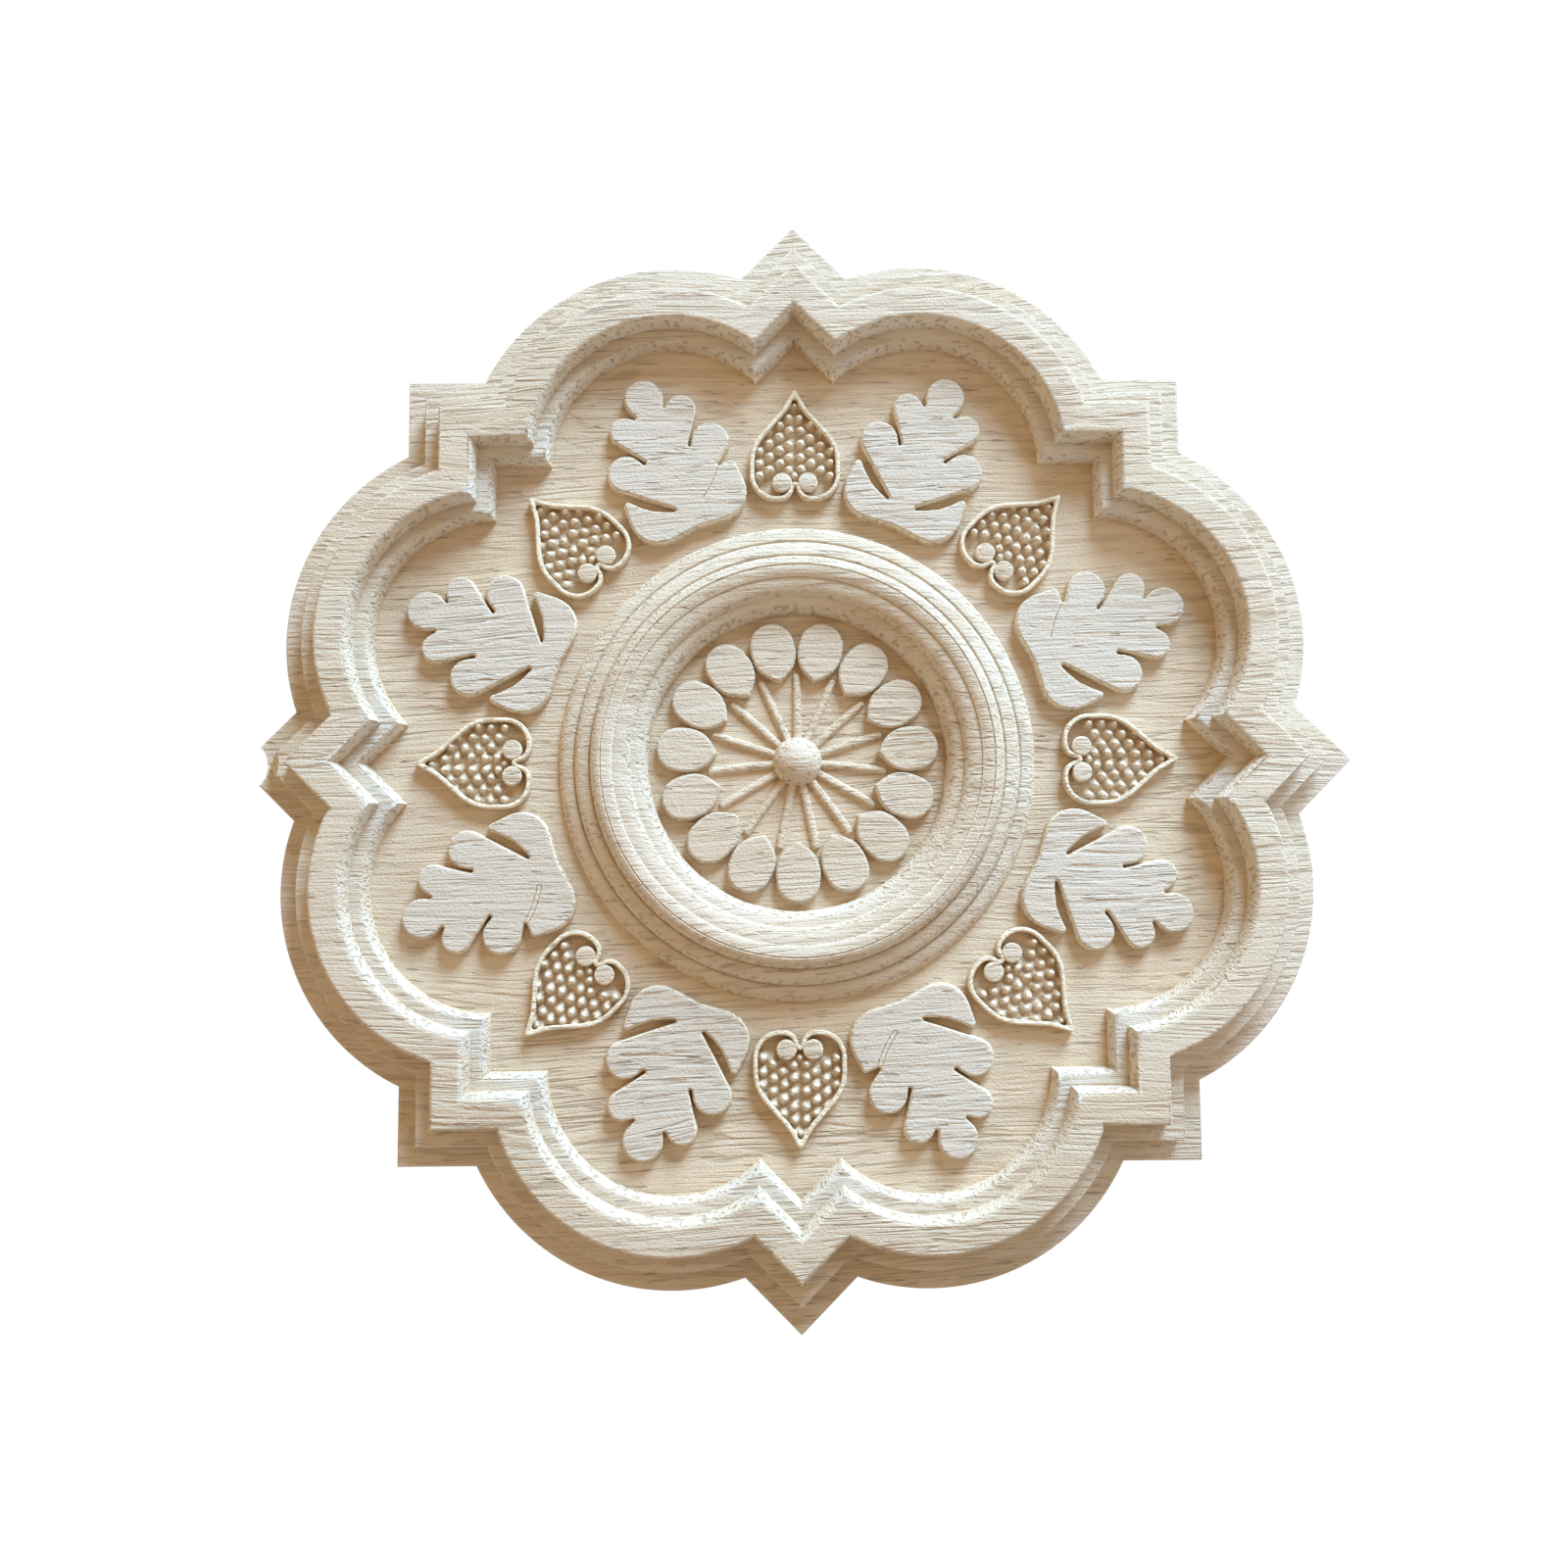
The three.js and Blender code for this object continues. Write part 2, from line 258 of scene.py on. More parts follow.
# Lights: name, lean to the right of upright, rise in front of the wall, distance, width, energy, colour
LIGHTS = [
    ("key", 22, 21, 2.6, 1.2, 152, (0.54, 0.78, 1.0)),
    ("side", 85, 24, 0.42, 0.2, 0.42, (0.62, 0.82, 1.0)),
    ("bounce", -80, 22, 1.2, 0.5, 2.2, (1.0, 0.86, 0.62)),
]
FILL_TONE = (1.0, 0.69, 0.39, 1)
FILL_STRENGTH = 0.45
BACKDROP_TONE = (1, 1, 1, 1)

# Floor, in metres
FLOOR_DROP = 1.3
FLOOR_HALF = 0.6
FLOOR_TONES = ((0.9, 0.9, 0.9, 1), (0.94, 0.94, 0.94, 1))


def make_object(name, points, faces):
    """A mesh object from points in plan millimetres, with its faces turned outwards."""
    p = np.asarray(points, float) * MM
    placed = np.column_stack([p[:, 0], -p[:, 2], p[:, 1]])
    mesh = bpy.data.meshes.new(name)
    mesh.from_pydata(placed.tolist(), [], faces)
    shell = bmesh.new()
    shell.from_mesh(mesh)
    bmesh.ops.recalc_face_normals(shell, faces=shell.faces)
    shell.to_mesh(mesh)
    shell.free()
    made = bpy.data.objects.new(name, mesh)
    bpy.context.scene.collection.objects.link(made)
    return made


def turned(points, angle):
    """Plan points turned about the centre."""
    c, s = math.cos(angle), math.sin(angle)
    p = np.asarray(points, float).copy()
    p[:, :2] = p[:, :2] @ np.array([[c, s], [-s, c]])
    return p


def at_level(outline, level):
    return np.column_stack([outline, np.full(len(outline), level)])


def stack(loops):
    """Closed shell through a stack of loops, closed by a flat face at each end."""
    count = len(loops[0])
    faces = [tuple(reversed(range(count)))]
    for row in range(len(loops) - 1):
        a, b = row * count, (row + 1) * count
        for i in range(count):
            j = (i + 1) % count
            faces.append((a + i, a + j, b + j, b + i))
    faces.append(tuple(range((len(loops) - 1) * count, len(loops) * count)))
    return np.concatenate(loops), faces


def together(parts):
    """Several shells as one list of points and faces."""
    points, faces, start = [], [], 0
    for p, f in parts:
        points.append(p)
        faces.extend(tuple(i + start for i in face) for face in f)
        start += len(p)
    return np.concatenate(points), faces


def combine(body, tool, operation):
    """Joins the tool to the body, or cuts the body with it, and removes the tool."""
    step = body.modifiers.new("combine", "BOOLEAN")
    step.operation = operation
    step.solver = "MANIFOLD"
    step.object = tool
    graph = bpy.context.evaluated_depsgraph_get()
    result = bpy.data.meshes.new_from_object(body.evaluated_get(graph))
    body.modifiers.remove(step)
    body.data = result
    bpy.data.objects.remove(tool)


def quarter_steps(count):
    return [QUARTER * i / count for i in range(count + 1)]


def rosette_outline(inset):
    """Outline of the rosette at a distance in from the bottom step: a tab's tip, then the arc of a lobe."""
    tip = TIP_RADIUS - inset * math.sqrt(2)
    radius = LOBE_RADIUS - inset
    along = LOBE_CENTRE_RADIUS * math.cos(SECTOR / 2)
    across = LOBE_CENTRE_RADIUS * math.sin(SECTOR / 2)
    middle = (tip - along + across) / 2
    offset = (tip - along - across) / 2
    root = middle - math.sqrt(radius**2 / 2 - offset**2)
    start = math.atan2(root - across, tip - root - along)
    sweep = SECTOR - 2 * start
    angles = start + sweep * np.arange(LOBE_SEGMENTS + 1) / LOBE_SEGMENTS
    arc = np.column_stack([along + radius * np.cos(angles), across + radius * np.sin(angles)])
    one = np.vstack([[tip, 0.0], arc])
    return np.vstack([turned(one, cusp * SECTOR) for cusp in range(CUSPS)])


def outer_edge(inset, level, radius):
    """Rows of a rounded outer edge, from the wall up on to the tread."""
    return [
        (inset + radius * (1 - math.cos(a)), level - radius * (1 - math.sin(a)))
        for a in quarter_steps(EDGE_SEGMENTS)
    ]


def falling_round(inset, level, width, drop):
    """Rows of a quarter round that leaves a level flat and ends upright."""
    return [
        (inset + width * math.sin(a), level - drop * (1 - math.cos(a)))
        for a in quarter_steps(FALL_SEGMENTS)
    ]


def rim_body():
    middle_inset = BOTTOM_TREAD
    rim_inset = middle_inset + MIDDLE_TREAD
    moulding_inset = rim_inset + RIM_EDGE_ROUND + RIM_FLAT
    ledge_inset = moulding_inset + UPPER_ROUND_WIDTH
    lower_inset = ledge_inset + LEDGE_WIDTH
    rows = [(0, 0)]
    rows += outer_edge(0, BOTTOM_HEIGHT, STEP_EDGE_ROUND)
    rows += [(middle_inset, BOTTOM_HEIGHT)]
    rows += outer_edge(middle_inset, MIDDLE_LEVEL, STEP_EDGE_ROUND)
    rows += [(rim_inset, MIDDLE_LEVEL)]
    rows += outer_edge(rim_inset, FRONT_LEVEL, RIM_EDGE_ROUND)
    rows += falling_round(moulding_inset, FRONT_LEVEL, UPPER_ROUND_WIDTH, UPPER_ROUND_DROP)
    rows += [(ledge_inset, LEDGE_LEVEL)]
    rows += falling_round(lower_inset, LEDGE_LEVEL, LOWER_ROUND_WIDTH, LOWER_ROUND_DROP)
    return stack([at_level(rosette_outline(inset), level) for inset, level in rows])


def break_tool():
    """What has broken off the left tab, with a rough surface."""
    profile = [(BREAK_RADIUS, level) for level in (-CUT_MARGIN, *BREAK_LEVELS, BOTTOM_HEIGHT)]
    for i in range(1, BREAK_SLOPE_STEPS + 1):
        share = i / BREAK_SLOPE_STEPS
        radius = BREAK_RADIUS + (BREAK_SLOPE_RADIUS - BREAK_RADIUS) * share
        profile.append((radius, BOTTOM_HEIGHT + MIDDLE_HEIGHT * share))
    profile.append((BREAK_SLOPE_RADIUS, FRONT_LEVEL + CUT_MARGIN))
    loops = []
    for radius, level in profile:
        loop = []
        for i in range(BREAK_SEGMENTS):
            angle = TAU * i / BREAK_SEGMENTS
            x, y = math.cos(angle), math.sin(angle)
            chips = noise.noise(Vector((x * radius, y * radius, level)) * BREAK_GRAIN)
            reach = radius + BREAK_ROUGHNESS * (0.5 + chips / 2)
            loop.append((reach * x - TIP_RADIUS, reach * y, level))
        loops.append(np.array(loop))
    return stack(loops)


def chain_headings(circles):
    """Heading of the straight stretch that leaves each circle for the next."""
    headings = []
    for i, (x, y, r) in enumerate(circles):
        nx, ny, nr = circles[(i + 1) % len(circles)]
        lean = math.asin((nr - r) / math.hypot(nx - x, ny - y))
        headings.append(math.atan2(ny - y, nx - x) - lean)
    return headings


def chain_turns(circles):
    """Heading at which the outline comes to each circle, and how far it turns there."""
    headings = chain_headings(circles)
    turns = []
    for i, (x, y, r) in enumerate(circles):
        turn = math.fmod(headings[i] - headings[i - 1], TAU)
        if r > 0 and turn < 0:
            turn += TAU
        if r < 0 and turn > 0:
            turn -= TAU
        turns.append((headings[i - 1], turn))
    return turns


def belt(circles, counts):
    """Outline round a chain of circles like a belt, with a given number of steps on each circle."""
    points = []
    for (x, y, r), (start, turn), count in zip(circles, chain_turns(circles), counts):
        for k in range(count + 1):
            heading = start + turn * k / count
            points.append((x + r * math.sin(heading), y - r * math.cos(heading)))
    return np.array(points)


def step_counts(circles, step_degrees):
    step = math.radians(step_degrees)
    return [max(1, math.ceil(abs(turn) / step)) for start, turn in chain_turns(circles)]


def chain(rows, length, foot, inset=0.0, right_rows=None):
    """Chain of circles down the left side and up the right one, which mirrors it without rows of its own."""
    def side(chosen, sign):
        circles = []
        for along, across, radius, *draw in chosen:
            x, y, r = foot + along * length, sign * across * length, radius * length
            if draw:
                circles.append((x + inset * draw[0], y, r))
            else:
                circles.append((x, y, r - inset))
        return circles

    off_middle = [row for row in (right_rows or rows) if row[1] != 0]
    return side(rows, 1) + side(off_middle, -1)[::-1]


def raised_form(circles_at, height, edge_round, flare, step_degrees):
    """A low form on the ground, its sides leaning out by a flare, with a rounded upper edge."""
    counts = step_counts(circles_at(0.0), step_degrees)
    section = [(-flare, GROUND_LEVEL - ROOTING), (-flare, GROUND_LEVEL - ROOTING / 4)]
    section += outer_edge(0.0, GROUND_LEVEL + height, edge_round)
    return stack([at_level(belt(circles_at(inset), counts), level) for inset, level in section])


def leaf(index):
    """Every other leaf has one lower slit that stops short: on its left side, then on its right one."""
    left = LEAF_LOBES + (SHORT_SLIT if index % 4 == 0 else LONG_SLIT) + LEAF_FOOT
    right = LEAF_LOBES + (SHORT_SLIT if index % 4 == 2 else LONG_SLIT) + LEAF_FOOT
    points, faces = raised_form(
        lambda inset: chain(left, LEAF_LENGTH, LEAF_START, inset, right),
        LEAF_HEIGHT, LEAF_EDGE_ROUND, LEAF_FLARE, LEAF_STEP_DEGREES,
    )
    return turned(points, (index + 0.5) * SECTOR), faces


def cutter(path, width, depth, level):
    """V-shaped cutter along a path in plan, with its point a depth under a level."""
    path = np.asarray(path, float)
    along = np.gradient(path, axis=0)
    along /= np.linalg.norm(along, axis=1)[:, None]
    across = np.column_stack([-along[:, 1], along[:, 0]]) * width
    return stack([
        np.array([(*(p + a), level + depth), (*(p - a), level + depth), (*p, level - depth)])
        for p, a in zip(path, across)
    ])


def scratch(index):
    """Scratch on a leaf where a slit stops short: a single line, or the outline of a narrow slit."""
    side = 1 if index % 4 == 0 else -1
    start = np.array(SHORT_SLIT[0][:2])
    end = np.array(LONG_SLIT[0][:2])
    way = (end - start) / np.linalg.norm(end - start)
    normal = np.array([-way[1], way[0]])
    shares = np.linspace(SCRATCH_START, 1.0, SCRATCH_POINTS)
    line = [start + (end - start) * t + normal * SCRATCH_BEND * 4 * t * (1 - t) for t in shares]
    if index >= CUSPS / 2:
        half = SCRATCH_LOOP_HALF_WIDTH
        turn = [end + half * (math.cos(a) * normal + math.sin(a) * way) for a in (0.9, 2.2)]
        line = [p + normal * half for p in line] + turn + [p - normal * half for p in line[::-1]]
    path = [(LEAF_START + along * LEAF_LENGTH, side * across * LEAF_LENGTH) for along, across in line]
    points, faces = cutter(path, SCRATCH_WIDTH, SCRATCH_DEPTH, GROUND_LEVEL + LEAF_HEIGHT)
    return turned(points, (index + 0.5) * SECTOR), faces


def petal():
    return raised_form(
        lambda inset: chain(PETAL_ROWS, PETAL_LENGTH, PETAL_START, inset),
        PETAL_HEIGHT, PETAL_EDGE_ROUND, 0.0, PETAL_STEP_DEGREES,
    )


def heart_outline(inset, counts):
    return belt(chain(HEART_ROWS, HEART_LENGTH, HEART_START, inset), counts)


def heart_counts():
    return step_counts(chain(HEART_ROWS, HEART_LENGTH, HEART_START), HEART_STEP_DEGREES)


def heart_rim():
    """Rim of a heart, half round in section, with the floor of its field."""
    counts = heart_counts()
    radius = HEART_RIM_WIDTH / 2
    shoulder = GROUND_LEVEL + HEART_HEIGHT - radius
    section = [(0.0, GROUND_LEVEL - ROOTING)]
    for i in range(HEART_RIM_SEGMENTS + 1):
        a = math.pi * i / HEART_RIM_SEGMENTS
        section.append((radius * (1 - math.cos(a)), shoulder + radius * math.sin(a)))
    section.append((HEART_RIM_WIDTH, GROUND_LEVEL + HEART_FIELD_HEIGHT))
    return stack([at_level(heart_outline(inset, counts), level) for inset, level in section])


def pebbles():
    """Places of the pebbles along and across a heart, each with its own size."""
    places = [(PEBBLE_AT_TIP, 0.0, PEBBLE_TIP_SIZE), (PEBBLE_AT_FOOT, 0.0, PEBBLE_FOOT_SIZE)]
    disc_middle = (DISC_ALONG * HEART_LENGTH, DISC_ACROSS * HEART_LENGTH)
    # Vector noise is seeded by the clock unless it is told otherwise
    noise.seed_set(PEBBLE_SEED)
    for column in range(PEBBLE_COLUMNS):
        for row in range(-1, PEBBLE_ROWS):
            for side in (-1, 1):
                stray = noise.noise_vector(Vector((column, row, side)) * PEBBLE_DRAW)
                along = PEBBLE_START + (row + 0.5 * (column % 2)) * PEBBLE_ALONG + PEBBLE_STRAY * stray.x
                across = side * (PEBBLE_FIRST + column * PEBBLE_ACROSS) + PEBBLE_STRAY * stray.y
                away = math.dist((along, abs(across)), disc_middle)
                if away > DISC_RADIUS + PEBBLE_DISC_GAP and along > 2 * DISC_RADIUS:
                    places.append((along, across, 1 + PEBBLE_SIZE_STRAY * stray.z))
    return np.array(places)


def pebble_field():
    """Slab whose upper face is covered in pebbles, in the place of a heart's field."""
    half = PEBBLE_SLAB_REACH * HEART_LENGTH
    along = np.arange(-PEBBLE_SLAB_MARGIN, HEART_LENGTH + PEBBLE_SLAB_MARGIN, PEBBLE_GRID)
    across = np.arange(-half, half, PEBBLE_GRID)
    grid_along, grid_across = np.meshgrid(along, across)
    heights = np.zeros(grid_along.shape)
    for x, y, size in pebbles():
        away = np.hypot(grid_along - x, grid_across - y) / PEBBLE_RADIUS
        heights = np.maximum(heights, PEBBLE_HEIGHT * size * np.exp(-away**PEBBLE_STEEPNESS))
    upper = np.column_stack([
        HEART_START + grid_along.ravel(),
        grid_across.ravel(),
        GROUND_LEVEL + HEART_FIELD_HEIGHT + heights.ravel(),
    ])
    wide, rows = len(along), len(across)
    count = wide * rows
    faces = []
    for j in range(rows - 1):
        for i in range(wide - 1):
            a = j * wide + i
            faces.append((a, a + 1, a + wide + 1, a + wide))
    border = list(range(wide))
    border += [j * wide + wide - 1 for j in range(1, rows)]
    border += [(rows - 1) * wide + i for i in range(wide - 2, -1, -1)]
    border += [j * wide for j in range(rows - 2, 0, -1)]
    lower = upper[border].copy()
    lower[:, 2] = GROUND_LEVEL - ROOTING
    for i, a in enumerate(border):
        j = (i + 1) % len(border)
        faces.append((border[j], a, count + i, count + j))
    faces.append(tuple(range(count + len(border) - 1, count - 1, -1)))
    return np.concatenate([upper, lower]), faces


def ring():
    """Ring moulding: full beads, with a fine groove after each of the upper ones, and a slight ripple."""
    section = []
    radius, level = RING_OUTER_RADIUS, 0.0
    for bead, (width, height) in enumerate(RING_BEADS):
        rise = height - level
        for a in quarter_steps(BEAD_SEGMENTS)[:-1]:
            out = 1 - math.cos(a) if rise > 0 else math.sin(a)
            up = math.sin(a) if rise > 0 else 1 - math.cos(a)
            section.append((radius - width * out, level + rise * up))
        if bead < GROOVED_BEADS:
            section.append((radius - width + 2 * GROOVE_WIDTH, height - GROOVE_LIP))
            section.append((radius - width + GROOVE_WIDTH * 0.6, height - GROOVE_DEPTH))
        radius -= width
        level = height
    section.append((radius, 0.0))
    section.append((radius, -ROOTING))
    section.insert(0, (RING_OUTER_RADIUS, -ROOTING))
    points = []
    for i in range(RING_SEGMENTS):
        angle = TAU * i / RING_SEGMENTS
        x, y = math.cos(angle), math.sin(angle)
        for r, z in section:
            ripple = noise.noise(Vector((x * r, y * r, z)) * RIPPLE_GRAIN)
            lift = RIPPLE_HEIGHT * ripple if z > 0 else 0.0
            points.append((r * x, r * y, GROUND_LEVEL + z + lift))
    wide = len(section)
    faces = []
    for i in range(RING_SEGMENTS):
        a, b = i * wide, ((i + 1) % RING_SEGMENTS) * wide
        for k in range(wide):
            n = (k + 1) % wide
            faces.append((a + k, b + k, b + n, a + n))
    return np.array(points), faces


def lathed(profile, segments, x=0.0, y=0.0):
    """Closed shell from a profile of radius and level that starts and ends on the axis."""
    inner = profile[1:-1]
    points = [(x, y, profile[0][1]), (x, y, profile[-1][1])]
    for radius, level in inner:
        for i in range(segments):
            angle = TAU * i / segments
            points.append((x + radius * math.cos(angle), y + radius * math.sin(angle), level))
    faces = []
    last = 2 + (len(inner) - 1) * segments
    for i in range(segments):
        j = (i + 1) % segments
        faces.append((0, 2 + j, 2 + i))
        faces.append((1, last + i, last + j))
        for row in range(len(inner) - 1):
            a, b = 2 + row * segments, 2 + (row + 1) * segments
            faces.append((a + i, a + j, b + j, b + i))
    return np.array(points), faces


def dome():
    profile = [(0.0, GROUND_LEVEL - ROOTING), (DOME_RADIUS, GROUND_LEVEL - ROOTING)]
    for a in quarter_steps(DOME_SEGMENTS // 4)[:-1]:
        profile.append((DOME_RADIUS * math.cos(a), GROUND_LEVEL + DOME_HEIGHT * math.sin(a)))
    profile.append((0.0, GROUND_LEVEL + DOME_HEIGHT))
    return lathed(profile, DOME_SEGMENTS)


def disc(side):
    """Flat disc that a heart's rim curls into, with a rounded edge."""
    top = GROUND_LEVEL + DISC_HEIGHT
    profile = [(0.0, GROUND_LEVEL - ROOTING), (DISC_RADIUS, GROUND_LEVEL - ROOTING)]
    profile += [(DISC_RADIUS - inset, level) for inset, level in outer_edge(0.0, top, DISC_EDGE_ROUND)]
    profile.append((0.0, top + DISC_CROWN))
    along = HEART_START + DISC_ALONG * HEART_LENGTH
    return lathed(profile, DISC_SEGMENTS, along, side * DISC_ACROSS * HEART_LENGTH)


def rib():
    """Round rod half sunk in the ground, with a round outer end."""
    start = DOME_RADIUS / 2
    centre = RIB_REACH - RIB_RADIUS
    profile = [(0.0, start), (RIB_RADIUS, start)]
    for a in quarter_steps(RIB_CAP_SEGMENTS)[:-1]:
        profile.append((RIB_RADIUS * math.cos(a), centre + RIB_RADIUS * math.sin(a)))
    profile.append((0.0, centre + RIB_RADIUS))
    points, faces = lathed(profile, RIB_SIDES)
    placed = np.column_stack([points[:, 2], points[:, 0], GROUND_LEVEL + points[:, 1]])
    return placed, faces


def all_round(part, count, start=0.0):
    points, faces = part
    return together([(turned(points, start + TAU * i / count), faces) for i in range(count)])


def heart_prism(bottom):
    """Prism over the inside of a heart, to the middle of its rim."""
    edge = heart_outline(HEART_RIM_WIDTH / 2, heart_counts())
    return stack([at_level(edge, level) for level in (bottom, FRONT_LEVEL)])


def field_in_heart():
    """The pebbled slab, cut to the inside of a heart's rim, as points and faces in plan."""
    field = make_object("tool", *pebble_field())
    combine(field, make_object("tool", *heart_prism(0.0)), "INTERSECT")
    points = np.array([v.co for v in field.data.vertices]) / MM
    faces = [tuple(p.vertices) for p in field.data.polygons]
    bpy.data.objects.remove(field)
    return np.column_stack([points[:, 0], points[:, 2], -points[:, 1]]), faces


def build_carving():
    body = make_object("rosette_carving", *rim_body())
    combine(body, make_object("tool", *break_tool()), "DIFFERENCE")
    pockets = all_round(heart_prism(GROUND_LEVEL - ROOTING / 2), CUSPS)
    combine(body, make_object("tool", *pockets), "DIFFERENCE")
    rib_points, rib_faces = rib()
    forms = [
        ring(),
        together([leaf(i) for i in range(CUSPS)]),
        all_round(heart_rim(), CUSPS),
        all_round(field_in_heart(), CUSPS),
        all_round(disc(1), CUSPS),
        all_round(disc(-1), CUSPS),
        all_round(petal(), PETALS, -QUARTER),
        dome(),
        # The ribs meet under the dome, so each is joined by itself
        *[(turned(rib_points, QUARTER + TAU * i / PETALS), rib_faces) for i in range(PETALS)],
    ]
    for form in forms:
        combine(body, make_object("tool", *form), "UNION")
    for index in range(0, CUSPS, 2):
        combine(body, make_object("tool", *scratch(index)), "DIFFERENCE")
    return body


def smooth(body, degrees):
    """Smooth shading that breaks at real edges and keeps the flats flat."""
    body.data.shade_smooth()
    body.data.set_sharp_from_angle(angle=math.radians(degrees))
    weighted = body.modifiers.new("weighted", "WEIGHTED_NORMAL")
    weighted.keep_sharp = True


class Nodes:
    """Short way to write a node tree."""

    def __init__(self, tree):
        self.tree = tree
        tree.nodes.clear()

    def add(self, kind, inputs=(), **settings):
        node = self.tree.nodes.new(kind)
        for key, value in settings.items():
            setattr(node, key, value)
        for key, value in dict(inputs).items():
            self.set(node, key, value)
        return node

    def set(self, node, key, value):
        socket = node.inputs[key]
        if isinstance(value, bpy.types.NodeSocket):
            self.tree.links.new(value, socket)
        else:
            socket.default_value = value

    def noise(self, space, scale, shift=(0, 0, 0), detail=2.0, roughness=0.5):
        """Noise with its own number of cycles a metre along each axis."""
        mapped = self.add("ShaderNodeMapping", {"Vector": space, "Scale": scale, "Location": shift})
        settings = {"Vector": mapped.outputs["Vector"], "Scale": 1.0}
        node = self.add("ShaderNodeTexNoise", {**settings, "Detail": detail, "Roughness": roughness})
        return node.outputs["Fac"]

    def math(self, operation, a, b=0.0):
        node = self.add("ShaderNodeMath", {0: a, 1: b}, operation=operation)
        return node.outputs["Value"]

    def ramp(self, value, low, high):
        """Rises from 0 to 1 as the value goes from low to high."""
        node = self.add("ShaderNodeMapRange", {"Value": value, "From Min": low, "From Max": high})
        node.interpolation_type = "SMOOTHSTEP"
        return node.outputs["Result"]

    def fall(self, value, low, high):
        """Falls from 1 to 0 as the value goes from low to high."""
        return self.math("SUBTRACT", 1.0, self.ramp(value, low, high))

    def between(self, value, rise, fall):
        """Rises over a first pair of values and falls back over a second pair."""
        return self.math("MULTIPLY", self.ramp(value, *rise), self.fall(value, *fall))

    def mix(self, factor, a, b):
        node = self.add("ShaderNodeMix", {"Factor": factor, 6: a, 7: b}, data_type="RGBA")
        return node.outputs[2]

    def tint(self, tone, colour, where, weight):
        """Moves a tone towards a colour, where a value says and by its weight."""
        return self.mix(self.math("MULTIPLY", where, weight), tone, colour)


def grain_space(n, place):
    """The material's space, with a grain that climbs a little to the right and wanders up and down."""
    wander = n.math("SUBTRACT", n.noise(place, (9, 14, 26), detail=1.0), 0.5)
    sway = n.add("ShaderNodeCombineXYZ", {"Z": n.math("MULTIPLY", wander, GRAIN_WANDER)})
    bent = n.add("ShaderNodeVectorMath", {0: place, 1: sway.outputs["Vector"]}, operation="ADD")
    climb = {"Vector": bent.outputs["Vector"], "Rotation": (0, GRAIN_CLIMB, 0)}
    return n.add("ShaderNodeMapping", climb).outputs["Vector"]


def growth_lines(n, grain):
    """Long fine lines where a drawn-out noise passes its middle value, broken here and there."""
    line = 0.0
    for scale, shift, thin, weight in GROWTH_LINES:
        swell = n.noise(grain, scale, shift, detail=1.0)
        away = n.math("ABSOLUTE", n.math("SUBTRACT", swell, 0.5))
        one = n.math("MULTIPLY", n.fall(away, thin * 0.2, thin), weight)
        line = n.math("MAXIMUM", line, one)
    broken = n.noise(grain, (110, 220, 420), (7, 2, 4))
    return n.math("MULTIPLY", line, n.ramp(broken, 0.33, 0.56))


def openness(n, reach, **settings):
    """Occlusion by the carving itself within a reach: 0 where it is hemmed in, 1 where it is open."""
    node = n.add("ShaderNodeAmbientOcclusion", {"Distance": reach}, samples=4, only_local=True, **settings)
    return node.outputs["AO"]


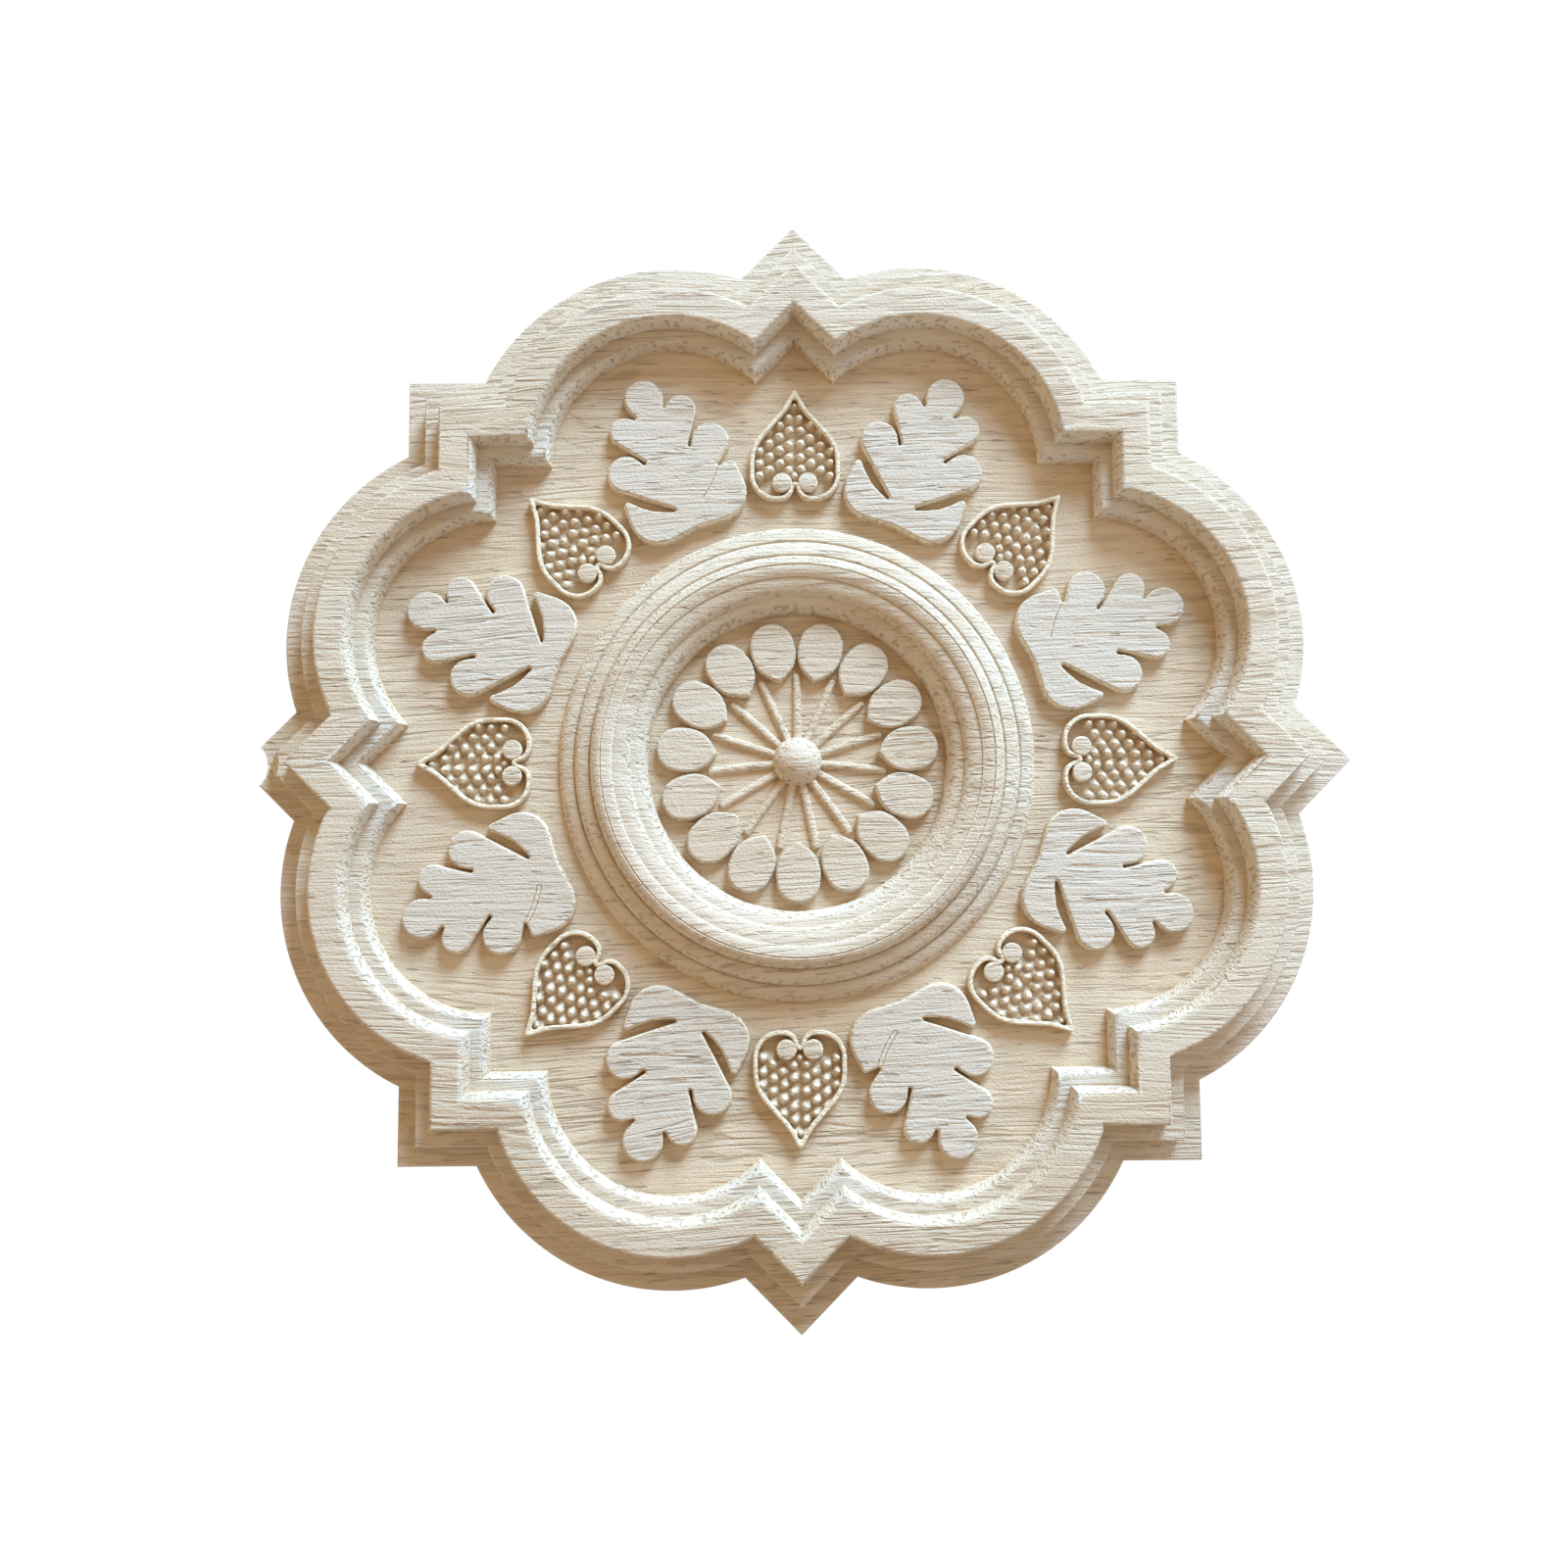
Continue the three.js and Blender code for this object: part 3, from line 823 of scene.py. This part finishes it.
def wood_material():
    """Raw pale wood, its grain along X through the whole board, with open pores, a sanded bloom and painted
    light on what stands up, painted shade in its hollows and painted highlights on its edges.
    """
    material = bpy.data.materials.new("pale_wood")
    material.use_nodes = True
    n = Nodes(material.node_tree)
    place = n.add("ShaderNodeTexCoord").outputs["Object"]
    grain = grain_space(n, place)

    patches = n.noise(place, (7, 9, 11))
    strong = n.ramp(n.noise(place, (11, 12, 16), (3, 8, 6)), 0.36, 0.64)
    bands = n.noise(grain, (4, 60, 95), detail=3.0, roughness=0.6)
    stripes = n.ramp(n.noise(grain, (7, 150, 240), (4, 1, 6), detail=3.0, roughness=0.6), 0.5, 0.68)
    fibres = n.noise(grain, (40, 600, 1000), detail=3.0, roughness=0.6)
    dashes = n.noise(grain, (130, 800, 1050), (1, 5, 3), detail=1.0, roughness=0.4)
    dots = n.noise(grain, (620, 620, 1150), (2, 9, 4), detail=1.0, roughness=0.4)
    fuzz = n.noise(place, (1300, 1300, 1300), roughness=0.6)

    # Where the carving cuts across the grain, lines fade and the pores are open dots
    normal = n.add("ShaderNodeTexCoord").outputs["Normal"]
    facing = n.math("ABSOLUTE", n.add("ShaderNodeSeparateXYZ", {0: normal}).outputs["Y"])
    steep = n.fall(facing, 0.7, 0.99)
    flat = n.math("SUBTRACT", 1.0, n.math("MULTIPLY", steep, 0.85))
    line = n.math("MULTIPLY", growth_lines(n, grain), flat)
    line = n.math("MULTIPLY", line, n.math("ADD", 0.4, n.math("MULTIPLY", strong, 0.6)))
    dash = n.math("MULTIPLY", n.ramp(dashes, 0.66, 0.74), flat)
    pores = n.math("MULTIPLY", steep, n.ramp(dots, 0.57, 0.67))

    # Height above the back and distance from the middle, in millimetres, tell the zones apart
    depth = n.add("ShaderNodeSeparateXYZ", {0: place}).outputs["Y"]
    height = n.math("MULTIPLY", depth, -1 / MM)
    spread = n.add("ShaderNodeVectorMath", {0: place, 1: (1 / MM, 0, 1 / MM)}, operation="MULTIPLY")
    length = n.add("ShaderNodeVectorMath", {0: spread.outputs["Vector"]}, operation="LENGTH")
    radius = length.outputs["Value"]
    sunk = n.math("MULTIPLY", n.between(height, *GROUND_HEIGHTS), n.fall(radius, *GROUND_BORDER))
    painted_crest_highlight = n.math("MULTIPLY", n.between(radius, *HEART_ZONE), n.between(height, *CREST_HEIGHTS))
    leaf_top = n.math("MULTIPLY", n.between(radius, *LEAF_ZONE), n.ramp(height, *LEAF_TOP_HEIGHTS))

    # The sunk ground is browner, with darker stripes, partly the fresh tone of the cut and partly painted
    # shade of the recess; what stands up is paler: crests take a painted highlight, leaf tops are partly
    # bleached, partly painted light
    tone = n.mix(n.ramp(bands, 0.35, 0.72), CREAM, TAN)
    tone = n.tint(tone, PINK, n.ramp(patches, 0.45, 0.68), 0.6)
    tone = n.tint(tone, FRESH_CUT_AND_SHADE, sunk, 0.75)
    tone = n.tint(tone, SHADE_AND_STRIPE_BROWN, n.math("MULTIPLY", stripes, sunk), 0.32)
    tone = n.tint(tone, CREST_HIGHLIGHT, painted_crest_highlight, 0.8)
    tone = n.tint(tone, BLEACHED_AND_LIT, leaf_top, 0.7)

    # Marks of the grain, stronger on the sunk ground
    tone = n.tint(tone, TAN, n.ramp(fibres, 0.45, 0.72), 0.35)
    tone = n.tint(tone, BROWN, line, n.math("ADD", 0.42, n.math("MULTIPLY", sunk, 0.2)))
    tone = n.tint(tone, BROWN, dash, 0.45)
    tone = n.tint(tone, OPEN_PORE, pores, 0.52)

    # Painted shade: inner corners are darkened towards brown where shade gathers. Painted highlight: edges
    # are made paler as if they caught the light, partly also as rubbed wear
    painted_corner_shade = n.fall(openness(n, CORNER_SHADE_REACH), 0.25, 0.8)
    wear_and_highlight = n.fall(openness(n, WEAR_AND_HIGHLIGHT_REACH, inside=True), 0.35, 0.9)
    tone = n.tint(tone, SHADE_AND_STRIPE_BROWN, painted_corner_shade, 0.6)
    tone = n.tint(tone, RUBBED_AND_HIGHLIGHT, wear_and_highlight, 0.85)

    relief = n.math("MULTIPLY", fuzz, n.math("ADD", 0.7, n.math("MULTIPLY", steep, 1.1)))
    for mark, deep in ((dash, 1.0), (line, 0.8), (pores, 0.8), (fibres, 0.9)):
        relief = n.math("SUBTRACT", relief, n.math("MULTIPLY", mark, deep))
    bump = n.add("ShaderNodeBump", {"Height": relief, "Strength": 0.8, "Distance": MARK_DEPTH})

    rough = n.add("ShaderNodeMapRange", {"Value": fibres, "To Min": 0.62, "To Max": 0.85})
    shader = n.add("ShaderNodeBsdfPrincipled", {
        "Base Color": tone,
        "Roughness": rough.outputs["Result"],
        "Normal": bump.outputs["Normal"],
        "Specular IOR Level": 0.3,
    })
    n.set(n.add("ShaderNodeOutputMaterial"), "Surface", shader.outputs["BSDF"])
    return material


def floor_material():
    material = bpy.data.materials.new("pale_floor")
    material.use_nodes = True
    n = Nodes(material.node_tree)
    place = n.add("ShaderNodeTexCoord").outputs["Object"]
    tone = n.mix(n.noise(place, (3, 3, 3)), *FLOOR_TONES)
    shader = n.add("ShaderNodeBsdfPrincipled", {"Base Color": tone, "Roughness": 0.9})
    n.set(n.add("ShaderNodeOutputMaterial"), "Surface", shader.outputs["BSDF"])
    return material


def set_stage():
    """Pale floor well under the rosette, which hangs clear of it."""
    signs = ((-1, -1), (1, -1), (1, 1), (-1, 1))
    corners = [(x * FLOOR_HALF, y * FLOOR_HALF, -FLOOR_DROP) for x, y in signs]
    mesh = bpy.data.meshes.new("floor")
    mesh.from_pydata(corners, [], [(0, 1, 2, 3)])
    floor = bpy.data.objects.new("floor", mesh)
    bpy.context.scene.collection.objects.link(floor)
    floor.data.materials.append(floor_material())


def set_camera():
    data = bpy.data.cameras.new("camera")
    data.lens = CAMERA_LENS
    data.sensor_width = CAMERA_SENSOR
    data.clip_start = CAMERA_NEAR
    camera = bpy.data.objects.new("camera", data)
    camera.location = CAMERA_EYE
    camera.rotation_euler = Euler([math.radians(a) for a in CAMERA_TURN_DEGREES])
    bpy.context.scene.collection.objects.link(camera)
    bpy.context.scene.camera = camera


def soft_light(name, lean_degrees, rise_degrees, distance, size, energy, color):
    """Round soft light, leaning to the right of upright and rising in front of the wall."""
    lean, rise = math.radians(lean_degrees), math.radians(rise_degrees)
    towards = Vector((math.sin(lean) * math.cos(rise), -math.sin(rise), math.cos(lean) * math.cos(rise)))
    data = bpy.data.lights.new(name, "AREA")
    data.shape = "DISK"
    data.size = size
    data.energy = energy
    data.color = color
    light = bpy.data.objects.new(name, data)
    light.location = towards * distance
    light.rotation_euler = towards.to_track_quat("Z", "Y").to_euler()
    bpy.context.scene.collection.objects.link(light)


def set_light():
    """Cool key from above, weak cool light on the right, warm one on the left, warm fill from all round."""
    for light in LIGHTS:
        soft_light(*light)

    world = bpy.data.worlds.new("studio")
    bpy.context.scene.world = world
    world.use_nodes = True
    n = Nodes(world.node_tree)
    fill = n.add("ShaderNodeBackground", {"Color": FILL_TONE, "Strength": FILL_STRENGTH})
    backdrop = n.add("ShaderNodeBackground", {"Color": BACKDROP_TONE, "Strength": 1.0})
    seen = n.add("ShaderNodeLightPath").outputs["Is Camera Ray"]
    both = n.add("ShaderNodeMixShader", {0: seen, 1: fill.outputs[0], 2: backdrop.outputs[0]})
    n.set(n.add("ShaderNodeOutputWorld"), "Surface", both.outputs[0])


set_camera()
set_stage()
set_light()
bpy.context.scene.view_settings.view_transform = "Standard"

carving = build_carving()
smooth(carving, SHARP_DEGREES)
carving.data.materials.clear()
carving.data.materials.append(wood_material())
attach(carving, "root")
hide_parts("carved_rosette")
